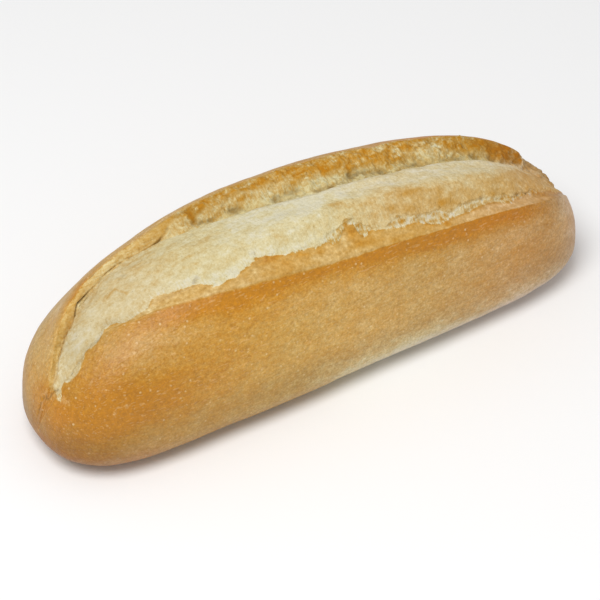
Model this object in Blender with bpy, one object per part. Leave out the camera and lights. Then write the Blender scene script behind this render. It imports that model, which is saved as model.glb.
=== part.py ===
"""A short baguette: one uncut loaf, baked on a flat sole, with one long cut down its crown.

The cut runs from tip to tip, a little askew. In the oven it opened: the crumb swelled up
between the two crusts as a rounded dome, the front crust kept a low folded lip, and the back
crust stands higher, as a torn wall with a rounded rim. All of it is one solid.

X runs along the loaf, -Y is its front, where the lip is, and +Z is up. The sole is on Z = 0.
"""

import math
from bisect import bisect_right
from functools import cache

import bmesh
import bpy
from mathutils import Vector, noise

MM = 0.001

# ---- the whole loaf, in metres ----
LENGTH = 0.210
HEIGHT = 0.0637
FRONT_REACH = 0.0275  # from the line of the crown forward to the widest place of the front
BACK_REACH = 0.0465  # and back to the widest place of the back
WIDEST_HEIGHT = 0.0130  # the height of the sides' widest line, and of both tips
UNDER_DEPTH = 0.0139  # how far the rounded underside would reach below it, were it not flat
SOLE_EASE = 0.0003  # the height over which the sole turns up into the side

# ---- how round it is: 2 is an ellipse, more is squarer ----
SECTION_POWER = 2.43
END_POWER = 2.51

# ---- how late each outline draws in towards the tips: more is later ----
FRONT_TAPER = 7.0
BACK_TAPER = 2.6
CROWN_TAPER = 1.8

# ---- the forms of the cut, each a line along the loaf ----
# (part of the way from the left tip to the right one, degrees round the loaf, height in
# millimetres over the uncut loaf). Round the loaf, 0 is the back, 90 the crown, 180 the front
# and 270 the sole.
BACK_RIM = ((0.00, 102, 0.0), (0.08, 94, 0.0), (0.13, 86, 0.3), (0.17, 78, 1.1),
            (0.22, 70, 1.7), (0.28, 65, 1.3), (0.33, 65, 1.1), (0.38, 63, 1.2),
            (0.44, 64, 1.1), (0.50, 66, 0.4), (0.60, 66, -0.8), (0.70, 66, -0.4),
            (0.77, 69, 0.3), (0.81, 73, 0.5), (0.84, 77, 0.2), (0.86, 83, -1.8),
            (0.90, 92, -1.4), (1.00, 104, 0.0))
VALLEY = ((0.00, 103, 0.0), (0.08, 96, -0.8), (0.13, 87, -1.8), (0.17, 79.5, -2.4),
          (0.22, 71.5, -2.6), (0.28, 66.5, -2.6), (0.33, 67.5, -3.2), (0.38, 71, -4.6),
          (0.44, 76, -6.2), (0.50, 80, -7.0), (0.60, 82, -7.4), (0.70, 82, -7.2),
          (0.76, 84, -6.4), (0.82, 87, -5.2), (0.86, 91, -3.9), (0.92, 98, -1.8),
          (1.00, 106, 0.0))
DOME_BACK = ((0.00, 104, 0.0), (0.08, 98, -0.5), (0.13, 90, -1.0), (0.17, 82, -1.2),
             (0.22, 73.5, -1.2), (0.28, 68.5, -1.2), (0.33, 70.5, -1.4), (0.38, 77, -1.6),
             (0.44, 83, -1.8), (0.50, 88, -2.0), (0.60, 90, -2.0), (0.70, 90, -2.0),
             (0.76, 91.5, -1.8), (0.82, 95, -2.4), (0.88, 100, -2.6), (1.00, 108, 0.0))
DOME_CREST = ((0.00, 107, 0.0), (0.08, 103, -0.5), (0.13, 97, -0.9), (0.22, 84, -0.5),
              (0.28, 82, -0.1), (0.38, 92, 0.2), (0.50, 103, 0.4), (0.60, 107, 0.4),
              (0.72, 108, 0.1), (0.82, 108, -1.8), (0.88, 108, -2.1), (1.00, 110, 0.0))
TORN_EDGE = ((0.00, 109, 0.0), (0.07, 107, -0.5), (0.13, 102, -0.7), (0.21, 95.5, -0.8),
             (0.27, 101, -0.9), (0.34, 107, -1.0), (0.40, 112.5, -1.0), (0.46, 118.5, -1.0),
             (0.50, 121, -1.0), (0.57, 125, -1.1), (0.63, 130, -1.0), (0.72, 127.5, -1.2),
             (0.79, 127, -1.4), (0.88, 121, -0.9), (1.00, 114, 0.0))
LIP_RIDGE = ((0.00, 112, 0.0), (0.07, 110, 0.0), (0.13, 105, 0.0), (0.21, 98, 0.1),
             (0.27, 105, 0.3), (0.34, 116, 0.6), (0.42, 126, 0.8), (0.50, 132.7, 0.8),
             (0.60, 135.9, 0.8), (0.70, 134.5, 0.8), (0.79, 132, 0.7), (0.88, 125, 0.1),
             (1.00, 116, 0.0))
LIP_SPREAD = 26  # degrees over which the ridge's rise runs out down the front
SLACK_SPREAD = 22  # degrees from the rim back to the slack place behind it
SLACK_SHARE = 0.22  # the slack place's depth, as a part of the valley's
BACK_SPREAD = 52  # degrees from the rim back to where the back is as round as if uncut

# ---- the unevenness of a hand-shaped loaf, and of its torn crumb ----
LUMP_SIZE = 34 * MM
LUMP_HEIGHT = 0.5 * MM
CRAG_SIZE = 6 * MM
WALL_CRAG_HEIGHT = 1.0 * MM
DOME_CRAG_HEIGHT = 0.5 * MM
CRAG_MARGIN = 3  # degrees inside a torn edge over which the crags rise
JAG_SIZE = 7 * MM  # the length of one notch in a torn edge
JAG_DEGREES = 2.5
SMOOTH_TIP = 0.15  # the part of the loaf at each tip over which crags and jags fade out
NOISE_ORIGIN = Vector((3.1, 7.7, 1.9))

# ---- the mesh: rings along the loaf, and the faces round it from form to form ----
RINGS = 80
FACES_ROUND = {"back": 7, "slack": 5, "rim": 5, "wall": 6, "fold": 3, "far dome": 5,
               "near dome": 6, "lip": 3, "under lip": 5, "front": 5, "sole": 14}
SOLE_START = 190  # degrees round the loaf where the front turns under

CRUST_COLOUR = (0.56, 0.31, 0.085, 1.0)
CRUST_ROUGHNESS = 0.55


def hermite(start, end, slope_start, slope_end, t):
    """The value at t, from 0 to 1, of a smooth line with these ends and end slopes."""
    eased = t * t * (3 - 2 * t)
    bends = slope_start * t * (1 - t) ** 2 - slope_end * t * t * (1 - t)
    return start + (end - start) * eased + bends


@cache
def form_at(form, station):
    """Where a form of the cut lies at a station: degrees round the loaf, and its height."""
    last = len(form) - 2
    i = min(max(bisect_right([point[0] for point in form], station) - 1, 0), last)
    gap = form[i + 1][0] - form[i][0]
    t = min(max((station - form[i][0]) / gap, 0.0), 1.0)
    found = []
    for value in (1, 2):
        slopes = []
        for k in (i, i + 1):
            before, after = form[max(k - 1, 0)], form[min(k + 1, last + 1)]
            slopes.append((after[value] - before[value]) / (after[0] - before[0]) * gap)
        found.append(hermite(form[i][value], form[i + 1][value], *slopes, t))
    return found[0], found[1] * MM


def signed_power(value, power):
    return math.copysign(abs(value) ** power, value)


def draw_in(place, taper):
    """How much of its full size an outline keeps at a place from -1, the left tip, to 1."""
    return max(0.0, 1 - abs(place) ** taper) ** (1 / END_POWER)


def uncut_loaf(along, around):
    """A point of the loaf as if it had no cut. along runs from 0 to pi, tip to tip."""
    place = -math.cos(along)
    side = signed_power(math.cos(around), 2 / SECTION_POWER)
    lift = signed_power(math.sin(around), 2 / SECTION_POWER)
    if side > 0:
        reach = BACK_REACH * draw_in(place, BACK_TAPER)
    else:
        reach = FRONT_REACH * draw_in(place, FRONT_TAPER)
    if lift > 0:
        rise = (HEIGHT - WIDEST_HEIGHT) * draw_in(place, CROWN_TAPER)
    else:
        rise = UNDER_DEPTH * draw_in(place, FRONT_TAPER)
    return Vector((LENGTH / 2 * place, reach * side, WIDEST_HEIGHT + rise * lift))


def outward(along, around, step=0.004):
    """The direction straight out of the uncut loaf."""
    along = min(max(along, 2 * step), math.pi - 2 * step)
    down_the_loaf = uncut_loaf(along + step, around) - uncut_loaf(along - step, around)
    round_the_loaf = uncut_loaf(along, around + step) - uncut_loaf(along, around - step)
    return round_the_loaf.cross(down_the_loaf).normalized()


def fade_at_tips(station):
    return min(1.0, station / SMOOTH_TIP, (1 - station) / SMOOTH_TIP)


def jag(station, seed):
    """How far a torn edge strays from its line at a station, in degrees."""
    place = station * LENGTH / JAG_SIZE
    return noise.noise(Vector((place, seed, 0.0))) * JAG_DEGREES * fade_at_tips(station)


@cache
def cut_section(station):
    """The cut's forms across one station, from the back to the front: (degrees, height)."""
    rim, rim_height = form_at(BACK_RIM, station)
    valley, valley_height = form_at(VALLEY, station)
    torn, torn_height = form_at(TORN_EDGE, station)
    ridge, ridge_height = form_at(LIP_RIDGE, station)
    return {
        "back": (rim - BACK_SPREAD, 0.0),
        "slack": (rim - SLACK_SPREAD, valley_height * SLACK_SHARE),
        "rim": (rim + jag(station, 1), rim_height),
        "valley": (valley, valley_height),
        "dome back": form_at(DOME_BACK, station),
        "dome crest": form_at(DOME_CREST, station),
        "torn edge": (torn + jag(station, 2), torn_height),
        "ridge": (ridge, ridge_height),
        "front": (ridge + LIP_SPREAD, 0.0),
    }


def cut_relief(station, degrees):
    """How far the crust or crumb stands out from the uncut loaf there."""
    section = cut_section(station)
    forms = list(section.values())
    if not forms[0][0] < degrees < forms[-1][0]:
        return 0.0
    i = bisect_right(forms, (degrees, math.inf)) - 1
    (start, low), (end, high) = forms[i], forms[i + 1]
    t = (degrees - start) / (end - start)
    beside_the_ridge = degrees >= section["torn edge"][0]
    blend = t if beside_the_ridge else t * t * (3 - 2 * t)
    return low + (high - low) * blend


def crag_height(station, degrees):
    """How rough the torn crumb is there: most on the wall, less on the dome."""
    section = cut_section(station)
    past_rim = degrees - section["rim"][0]
    before_torn_edge = section["torn edge"][0] - degrees
    if past_rim < 0 or before_torn_edge < 0:
        return 0.0
    edge = min(1.0, past_rim / CRAG_MARGIN, before_torn_edge / CRAG_MARGIN)
    on_the_wall = degrees < section["dome back"][0]
    rough = WALL_CRAG_HEIGHT if on_the_wall else DOME_CRAG_HEIGHT
    return rough * edge * fade_at_tips(station)


@cache
def mesh_rows(station):
    """Where the mesh's rows run: (turn round the ball, degrees round the loaf)."""
    stops = [degrees for degrees, _ in cut_section(station).values()] + [SOLE_START, 360]
    total = sum(FACES_ROUND.values())
    turn, rows = 0.0, [(0.0, 0.0)]
    for count, stop in zip(FACES_ROUND.values(), stops, strict=True):
        turn += 360 * count / total
        rows.append((turn, stop))
    return rows


def degrees_round(station, turn):
    rows = mesh_rows(station)
    i = min(max(bisect_right(rows, (turn, math.inf)) - 1, 0), len(rows) - 2)
    (start, low), (end, high) = rows[i], rows[i + 1]
    return low + (high - low) * (turn - start) / (end - start)


def settle(height):
    """The sole lies flat: what would sink below it stops there, eased into the side."""
    if height <= -SOLE_EASE:
        return 0.0
    if height >= SOLE_EASE:
        return height
    return (height + SOLE_EASE) ** 2 / (4 * SOLE_EASE)


def crust_point(along, turn):
    """A point of the finished loaf."""
    station = round(along / math.pi, 6)
    degrees = degrees_round(station, turn)
    around = math.radians(degrees)
    point = uncut_loaf(along, around)
    lump = noise.noise(point / LUMP_SIZE + NOISE_ORIGIN) * LUMP_HEIGHT
    crag = noise.noise(point / CRAG_SIZE + NOISE_ORIGIN) * crag_height(station, degrees)
    point += outward(along, around) * (cut_relief(station, degrees) + lump + crag)
    point.z = settle(point.z)
    return point


def shape_loaf(mesh_name):
    """A ball whose poles become the loaf's tips, drawn out to the loaf's shape."""
    bm = bmesh.new()
    faces_round = sum(FACES_ROUND.values())
    bmesh.ops.create_uvsphere(bm, u_segments=faces_round, v_segments=RINGS, radius=1)
    for vertex in bm.verts:
        along = math.acos(min(max(-vertex.co.z, -1.0), 1.0))
        turn = math.degrees(math.atan2(vertex.co.y, vertex.co.x)) % 360
        vertex.co = crust_point(along, turn)
    lows = [min(vertex.co[axis] for vertex in bm.verts) for axis in range(3)]
    highs = [max(vertex.co[axis] for vertex in bm.verts) for axis in range(3)]
    middle = Vector(((lows[0] + highs[0]) / 2, (lows[1] + highs[1]) / 2, lows[2]))
    bmesh.ops.translate(bm, verts=bm.verts, vec=-middle)
    mesh = bpy.data.meshes.new(mesh_name)
    bm.to_mesh(mesh)
    bm.free()
    mesh.shade_smooth()
    return mesh


def crust_material():
    material = bpy.data.materials.new("golden crust")
    material.use_nodes = True
    shader = material.node_tree.nodes["Principled BSDF"]
    shader.inputs["Base Color"].default_value = CRUST_COLOUR
    shader.inputs["Roughness"].default_value = CRUST_ROUGHNESS
    shader.inputs["Metallic"].default_value = 0.0
    return material


for old in list(bpy.data.objects):
    bpy.data.objects.remove(old, do_unlink=True)

baguette = bpy.data.collections.new("baguette")
bpy.context.scene.collection.children.link(baguette)

loaf = bpy.data.objects.new("loaf", shape_loaf("loaf"))
loaf.data.materials.append(crust_material())
baguette.objects.link(loaf)
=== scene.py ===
"""A short crusty baguette on a pale floor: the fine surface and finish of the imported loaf."""

import math
from bisect import bisect_right
from functools import cache

import bmesh
import bpy
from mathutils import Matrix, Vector, noise


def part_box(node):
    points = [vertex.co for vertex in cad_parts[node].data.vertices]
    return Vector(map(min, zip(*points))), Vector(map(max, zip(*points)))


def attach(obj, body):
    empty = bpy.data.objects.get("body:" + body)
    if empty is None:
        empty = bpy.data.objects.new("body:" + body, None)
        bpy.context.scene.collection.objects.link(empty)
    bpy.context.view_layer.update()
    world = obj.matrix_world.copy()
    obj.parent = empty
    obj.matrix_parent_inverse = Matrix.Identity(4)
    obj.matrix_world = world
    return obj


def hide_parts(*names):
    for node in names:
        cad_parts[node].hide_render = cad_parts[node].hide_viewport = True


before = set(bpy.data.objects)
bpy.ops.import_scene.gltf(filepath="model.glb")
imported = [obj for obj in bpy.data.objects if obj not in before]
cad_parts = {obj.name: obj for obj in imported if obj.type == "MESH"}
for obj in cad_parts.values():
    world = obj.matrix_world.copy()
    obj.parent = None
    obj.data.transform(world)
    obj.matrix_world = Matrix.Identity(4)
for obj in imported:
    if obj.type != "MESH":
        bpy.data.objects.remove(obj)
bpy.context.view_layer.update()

# ==== the loaf ====
# One piece of dough with a single cut down its crown, baked on a flat sole until its crust is
# golden. The oven tore the cut open: pale crumb swelled up between the back crust's ragged rim
# and the folded lip of the front crust. Crust and crumb are one skin, told apart by paint.

MM = 0.001

loaf_low, loaf_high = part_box("loaf")
LENGTH = loaf_high.x - loaf_low.x
WIDTH = loaf_high.y - loaf_low.y
HEIGHT = loaf_high.z - loaf_low.z
FRONT_REACH = 0.372 * WIDTH  # from the line of the crown forward to the front's widest place
BACK_REACH = WIDTH - FRONT_REACH
WIDEST_HEIGHT = 0.204 * HEIGHT
UNDER_DEPTH = 0.218 * HEIGHT
SOLE_EASE = 0.3 * MM

# how round it is: 2 is an ellipse, more is squarer
SECTION_POWER = 2.43
END_POWER = 2.51

# how late each outline draws in towards the tips
FRONT_TAPER = 7.0
BACK_TAPER = 2.6
CROWN_TAPER = 1.8

# The forms of the cut, each a line along the loaf: (station, degrees round the loaf, height in
# millimetres over the uncut loaf). Stations run from 0 at the left tip to 1 at the right one,
# in even steps round a half circle over the loaf's length. 0 degrees is the back, 90 the
# crown, 180 the front.
BACK_RIM = (
    (0.00, 102, 0.0), (0.08, 94, 0.0), (0.13, 86, 0.3), (0.17, 78, 1.1), (0.22, 70, 1.7),
    (0.28, 65, 1.3), (0.33, 65, 1.1), (0.38, 63, 1.2), (0.44, 64, 1.1), (0.50, 66, 0.4),
    (0.60, 66, -0.8), (0.70, 66, -0.4), (0.77, 69, 0.3), (0.81, 73, 0.5), (0.84, 77, 0.2),
    (0.86, 83, -1.8), (0.90, 92, -1.4), (1.00, 104, 0.0))
VALLEY = (
    (0.00, 103, 0.0), (0.08, 96, -0.8), (0.13, 87, -1.8), (0.17, 79.5, -2.4),
    (0.22, 71.5, -2.6), (0.28, 66.5, -2.6), (0.33, 67.5, -3.2), (0.38, 71, -4.6),
    (0.44, 76, -6.2), (0.50, 80, -7.0), (0.60, 82, -7.4), (0.70, 82, -7.2), (0.76, 84, -6.4),
    (0.82, 87, -5.2), (0.86, 91, -3.9), (0.92, 98, -1.8), (1.00, 106, 0.0))
DOME_BACK = (
    (0.00, 104, 0.0), (0.08, 98, -0.5), (0.13, 90, -1.0), (0.17, 82, -1.2),
    (0.22, 73.5, -1.2), (0.28, 68.5, -1.2), (0.33, 70.5, -1.4), (0.38, 77, -1.6),
    (0.44, 83, -1.8), (0.50, 88, -2.0), (0.60, 90, -2.0), (0.70, 90, -2.0),
    (0.76, 91.5, -1.8), (0.82, 95, -2.4), (0.88, 100, -2.6), (1.00, 108, 0.0))
DOME_CREST = (
    (0.00, 107, 0.0), (0.08, 103, -0.5), (0.13, 97, -0.9), (0.22, 84, -0.5), (0.28, 82, -0.1),
    (0.38, 92, 0.2), (0.50, 103, 0.4), (0.60, 107, 0.4), (0.72, 108, 0.1), (0.82, 108, -1.8),
    (0.88, 108, -2.1), (1.00, 110, 0.0))
TORN_EDGE = (
    (0.00, 109, 0.0), (0.07, 107, -0.5), (0.13, 102, -0.7), (0.21, 95.5, -0.8),
    (0.27, 101, -0.9), (0.34, 107, -1.0), (0.40, 112.5, -1.0), (0.46, 118.5, -1.0),
    (0.50, 121, -1.0), (0.57, 125, -1.1), (0.63, 130, -1.0), (0.72, 127.5, -1.2),
    (0.79, 127, -1.4), (0.88, 121, -0.9), (1.00, 114, 0.0))
LIP_RIDGE = (
    (0.00, 112, 0.0), (0.07, 110, 0.0), (0.13, 105, 0.0), (0.21, 98, 0.1), (0.27, 105, 0.3),
    (0.34, 116, 0.6), (0.42, 126, 0.8), (0.50, 132.7, 0.8), (0.60, 135.9, 0.8),
    (0.70, 134.5, 0.8), (0.79, 132, 0.7), (0.88, 125, 0.1), (1.00, 116, 0.0))
LIP_SPREAD = 26
SLACK_SPREAD = 22
SLACK_SHARE = 0.22
BACK_SPREAD = 52

LUMP_SIZE = 34 * MM
LUMP_HEIGHT = 0.5 * MM
JAG_SIZE = 7 * MM
JAG_DEGREES = 2.5
SMOOTH_TIP = 0.15
NOISE_ORIGIN = Vector((3.1, 7.7, 1.9))

# The mesh is finest over the cut, where a face is about half a millimetre.
RINGS = 468
RING_CROWD = 0.25  # how much closer the rings lie at the loaf's middle, and wider at its tips
FACES_ROUND = {"back": 6, "slack": 16, "rim": 24, "wall": 30, "fold": 12, "far dome": 20,
               "near dome": 34, "lip": 12, "under lip": 24, "front": 14, "sole": 20}
SOLE_START = 190

# ---- what the tear and the oven did ----
# A line is a row of (station, value) pairs. A spot is (station, way over the surface past a
# form, half its length, half its width, how much); ways and sizes are in millimetres. Tones
# run from 0, pale crumb, to 1, the darkest crust.

# how far the crumb's torn edge strays past its form
TORN_EDGE_STRAY = (
    (0.00, 3.5), (0.102, 3.5), (0.108, 1.5), (0.120, 0.4), (0.131, 2.8), (0.148, 3.3),
    (0.160, 2.7), (0.172, 2.6), (0.179, 1.5), (0.192, 2.6), (0.206, 2.6), (0.214, 1.0),
    (0.219, -1.0), (0.239, -0.6), (0.248, 1.5), (0.258, 0.5), (0.281, -0.2), (0.290, -2.2),
    (0.297, -3.3), (0.309, -2.3), (0.319, -1.3), (0.343, -0.9), (0.348, -0.3), (0.352, 1.7),
    (0.357, 2.8), (0.367, 3.2), (0.383, 2.6), (0.393, 1.5), (0.398, 0.7), (0.412, -1.8),
    (0.416, -2.2), (0.423, -1.7), (0.438, -0.1), (0.446, 1.0), (0.454, 1.2), (0.468, 0.2),
    (0.475, 1.0), (0.480, 1.0), (0.490, -0.1), (0.493, 1.5), (0.500, 1.7), (0.505, 0.1),
    (0.513, -2.4), (0.516, -3.6), (0.521, -3.5), (0.5245, -2.8), (0.5265, 1.7), (0.532, 2.1),
    (0.537, 0.9), (0.541, 0.1), (0.546, 0.9), (0.562, 1.2), (0.576, 1.4), (0.584, 0.2),
    (0.596, 0.2), (0.603, 1.5), (0.610, 2.2), (0.618, 2.1), (0.629, 1.3), (0.648, 0.0),
    (0.666, 0.1), (0.685, 0.6), (0.699, -0.6), (0.712, -0.2), (0.720, 1.0), (0.730, 1.5),
    (0.735, -0.1), (0.749, -1.1), (0.778, -1.5), (0.832, -1.4), (0.864, -0.5), (1.00, 0.0))

# where the dome's dried skin tore again, leaving a thin white band of crumb: millimetres past
# the same form. Elsewhere the skin reaches right to the torn edge.
SKIN_EDGE = (
    (0.00, 6.0), (0.484, 6.0), (0.488, -1.4), (0.496, -2.6), (0.506, -3.0), (0.513, -4.2),
    (0.524, -4.6), (0.530, -2.6), (0.538, -1.4), (0.543, 0.2), (0.558, 0.8), (0.567, -1.3),
    (0.576, -2.7), (0.583, -3.3), (0.599, -2.4), (0.607, -2.1), (0.614, -2.2), (0.621, -3.1),
    (0.627, -3.3), (0.633, -2.0), (0.642, -1.9), (0.652, -3.2), (0.669, -2.8), (0.680, -2.2),
    (0.698, -2.4), (0.708, -1.4), (0.718, -1.4), (0.727, -1.9), (0.735, -1.0), (0.743, -1.8),
    (0.756, -2.6), (0.768, -1.5), (0.781, -3.0), (0.792, -2.2), (0.801, 0.5), (0.808, 6.0),
    (1.00, 6.0))

# how far down the wall it is browned: millimetres past the rim. Up to FLAP_END a flap of the
# back crust reaches down to there, and a crack runs along its foot.
BROWNED_TO = (
    (0.00, 0.0), (0.087, 0.8), (0.110, 1.6), (0.142, 1.4), (0.155, 2.0), (0.169, 2.8),
    (0.181, 4.2), (0.190, 5.7), (0.200, 5.4), (0.207, 3.6), (0.220, 2.1), (0.236, 2.9),
    (0.257, 3.2), (0.271, 2.7), (0.292, 2.8), (0.308, 3.3), (0.322, 4.7), (0.351, 4.6),
    (0.362, 4.3), (0.370, 2.7), (0.382, 2.2), (0.392, 3.6), (0.397, 6.4), (0.402, 4.2),
    (0.419, 4.0), (0.431, 4.4), (0.455, 3.9), (0.476, 5.0), (0.488, 4.2), (0.511, 5.6),
    (0.519, 7.7), (0.530, 7.5), (0.543, 5.9), (0.545, 7.9), (0.567, 7.5), (0.577, 9.3),
    (0.592, 7.5), (0.605, 6.9), (0.629, 8.3), (0.645, 9.3), (0.653, 8.8), (0.657, 5.1),
    (0.665, 5.6), (0.680, 3.5), (0.693, 3.9), (0.705, 5.8), (0.732, 7.3), (0.745, 7.7),
    (0.775, 5.6), (0.781, 7.6), (0.804, 6.9), (0.834, 5.0), (0.843, 3.5), (0.849, -9.0),
    (1.00, -9.0))
FLAP_END = 0.385
# how deep the crack along the flap's foot is, and how much painted shadow lies in it
FLAP_CRACK = (
    (0.175, 0.0), (0.183, 0.4), (0.190, 0.7), (0.200, 0.5), (0.212, 1.0), (0.222, 0.9),
    (0.236, 0.8), (0.243, 0.2), (0.270, 0.1), (0.285, 0.5), (0.300, 0.1), (0.310, 0.45),
    (0.318, 0.3), (0.325, 0.7), (0.334, 0.8), (0.337, 0.1), (0.341, 0.2), (0.344, 0.9),
    (0.353, 0.9), (0.362, 0.45), (0.372, 0.2), (0.382, 0.0))

# how far past its form the lip's painted edge lies
RIDGE_STRAY = (
    (0.00, 0.0), (0.30, 0.0), (0.37, 0.9), (0.46, 1.0), (0.51, 0.8), (0.56, 0.0), (1.00, 0.0))

# tones along the loaf: of the wall's browned band, the pale wall under it, the dome's upper
# and lower parts, and the lip
BROWNED_TONE = (
    (0.00, 0.68), (0.10, 0.52), (0.17, 0.50), (0.22, 0.48), (0.28, 0.30), (0.33, 0.44),
    (0.38, 0.58), (0.43, 0.72), (0.60, 0.68), (0.66, 0.60), (0.73, 0.66), (0.78, 0.82),
    (0.84, 0.94), (1.00, 0.5))
PALE_WALL_TONE = (
    (0.00, 0.40), (0.18, 0.40), (0.24, 0.24), (0.36, 0.34), (0.48, 0.38), (0.53, 0.34),
    (0.63, 0.48), (0.68, 0.43), (0.73, 0.35), (0.79, 0.40), (0.84, 0.30), (0.88, 0.42),
    (1.00, 0.48))
UPPER_DOME_TONE = (
    (0.00, 0.50), (0.07, 0.42), (0.12, 0.34), (0.17, 0.29), (0.28, 0.24), (0.33, 0.28),
    (0.38, 0.19), (0.43, 0.05), (0.48, 0.00), (0.53, 0.09), (0.60, 0.12), (0.68, 0.16),
    (0.74, 0.20), (0.80, 0.18), (0.84, 0.26), (1.00, 0.34))
LOWER_DOME_TONE = (
    (0.00, 0.50), (0.10, 0.29), (0.16, 0.13), (0.18, 0.10), (0.23, 0.19), (0.28, 0.20),
    (0.33, 0.21), (0.38, 0.16), (0.48, 0.14), (0.53, 0.30), (0.58, 0.37), (0.63, 0.42),
    (0.68, 0.34), (0.75, 0.41), (0.80, 0.44), (1.00, 0.36))
LIP_TONE = (
    (0.00, 0.70), (0.12, 0.68), (0.20, 0.62), (0.25, 0.48), (0.28, 0.36), (0.33, 0.44),
    (0.38, 0.45), (0.43, 0.62), (0.47, 0.44), (0.50, 0.44), (0.56, 0.55), (0.60, 0.51),
    (0.64, 0.48), (0.68, 0.45), (0.76, 0.41), (0.80, 0.55), (1.00, 0.58))

# painted light and shade along the loaf, of the front crust, the dome and the wall
CRUST_PAINTED_LIGHT = (
    (0.00, 0.91), (0.09, 0.91), (0.12, 0.84), (0.17, 0.85), (0.22, 0.83), (0.27, 0.86),
    (0.33, 0.88), (0.38, 0.89), (0.43, 0.88), (0.50, 0.93), (0.58, 0.89), (0.68, 0.91),
    (0.73, 0.90), (0.78, 0.85), (0.83, 0.88), (0.88, 1.00), (1.00, 0.98))
DOME_PAINTED_LIGHT = (
    (0.00, 0.88), (0.13, 0.88), (0.16, 0.76), (0.19, 0.80), (0.23, 0.84),
    (0.28, 0.87), (0.45, 0.88), (0.55, 0.94), (0.70, 0.95), (0.75, 0.96), (0.80, 1.01),
    (1.00, 1.02))
WALL_PAINTED_LIGHT = (
    (0.00, 0.92), (0.15, 0.95), (0.20, 1.08), (0.28, 1.04), (0.33, 0.98), (0.38, 0.92),
    (0.43, 0.88), (0.50, 0.95), (0.60, 0.98), (0.68, 0.98), (0.73, 0.90), (0.78, 0.84),
    (0.83, 0.80), (1.00, 0.88))

# where the oven baked the front crust darker or left it paler, past the ridge. The paler spot
# at station 0.26, 7 mm past the ridge, is a painted sheen.
BAKED_SPOTS = (
    (0.13, 13, 9.8, 15, 0.34), (0.24, 26, 13.6, 10, 0.24), (0.26, 7, 10.8, 8, -0.06),
    (0.36, 16, 27, 22, 0.14), (0.88, 15, 12, 25, -0.19), (0.15, 17, 10.5, 16, 0.10),
    (0.19, 26, 9.3, 10, 0.18), (0.24, 30, 13.5, 9, 0.13), (0.30, 27, 21, 13, 0.11),
    (0.08, 4, 2.8, 6, 0.28), (0.26, 3, 9.3, 4.0, 0.22), (0.32, 3.0, 9, 2.6, 0.26),
    (0.38, 5.5, 9, 3, 0.10), (0.75, 17, 11, 5, 0.08), (0.22, 10, 8, 4, 0.10),
    (0.26, 16, 10, 6, -0.12), (0.32, 9.5, 9, 4, -0.12), (0.54, 11, 14, 5, -0.09),
    (0.72, 8, 15, 4, -0.08), (0.54, 2.2, 6, 1.6, 0.10), (0.62, 3, 13, 2.4, 0.19),
    (0.22, 17, 10, 6, 0.04), (0.88, 1.5, 6, 5, -0.12))

# browner and paler spots of the crumb, past the rim
CRUMB_SPOTS = (
    (0.453, 6.3, 1.9, 0.9, 0.40), (0.510, 7.3, 1.9, 0.7, 0.35), (0.548, 5.0, 1.2, 2.4, 0.26),
    (0.664, 4.2, 1.7, 1.0, 0.34), (0.719, 4.2, 3.0, 1.0, 0.34), (0.633, 7.2, 4.2, 1.8, 0.14),
    (0.598, 6.4, 2.8, 1.3, 0.18), (0.417, 0.8, 1.6, 0.9, 0.40), (0.405, 3.3, 2.2, 0.8, 0.30),
    (0.397, 4.6, 0.9, 2.0, 0.34), (0.678, 7.5, 5.0, 2.0, -0.10))

# browner spots of the dome and the lip, past the torn edge's form
DOME_SPOTS = (
    (0.595, -10.3, 7.0, 1.2, 0.14), (0.572, -5.5, 1.8, 1.4, 0.20),
    (0.587, -5.0, 3.0, 1.2, 0.14), (0.631, -5.3, 2.3, 1.1, 0.22),
    (0.706, -3.6, 2.4, 1.0, 0.20), (0.729, -7.1, 3.0, 2.0, 0.08),
    (0.758, -7.1, 2.6, 1.6, 0.08), (0.518, -12.0, 3.4, 0.8, 0.12),
    (0.482, -6.7, 3.4, 1.1, 0.12), (0.442, -6.4, 2.0, 1.1, 0.16),
    (0.438, -13.3, 3.4, 0.8, 0.10), (0.384, -17.0, 2.8, 1.0, 0.16),
    (0.357, -11.8, 2.4, 1.2, 0.12), (0.518, -0.8, 2.2, 3.0, 0.34),
    (0.524, 4.4, 4.5, 1.4, 0.24), (0.458, 2.2, 2.4, 0.9, 0.24), (0.478, 2.4, 2.0, 0.9, 0.18),
    (0.425, -0.4, 5.0, 1.0, 0.18), (0.628, 2.4, 1.6, 0.9, 0.30), (0.150, 6.0, 2.0, 1.2, 0.14))

# small cavities and pinholes of the crumb, past the rim; how much is the depth
CAVITIES = (
    (0.443, 8.8, 2.4, 1.3, 0.9), (0.486, 10.4, 2.4, 1.4, 0.9), (0.504, 10.0, 3.0, 1.2, 0.8),
    (0.574, 10.3, 1.3, 1.3, 1.0), (0.591, 10.6, 3.0, 0.8, 0.7), (0.611, 10.9, 1.7, 0.9, 1.0),
    (0.658, 11.3, 2.6, 0.7, 0.8), (0.701, 10.5, 2.2, 0.8, 0.9), (0.722, 9.9, 2.2, 0.7, 0.8),
    (0.746, 9.0, 2.6, 1.2, 1.0), (0.775, 7.9, 2.2, 0.8, 0.8), (0.397, 6.4, 1.0, 0.7, 0.9),
    (0.404, 7.6, 1.7, 0.5, 0.7), (0.416, 8.2, 2.1, 0.6, 0.8), (0.381, 15.9, 0.5, 0.4, 0.5),
    (0.469, 21.8, 0.7, 0.35, 0.5), (0.346, 33.8, 0.7, 0.4, 0.5),
    (0.282, 13.7, 0.8, 0.35, 0.4), (0.414, 38.4, 0.4, 0.7, 0.4), (0.484, 42.1, 0.5, 0.4, 0.3),
    (0.748, 38.0, 1.2, 0.5, 0.6), (0.769, 35.1, 1.4, 0.5, 0.8), (0.863, 4.7, 0.9, 0.9, 0.6),
    (0.857, 11.6, 0.8, 0.5, 0.5), (0.687, 40.9, 0.8, 0.4, 0.4))

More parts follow.
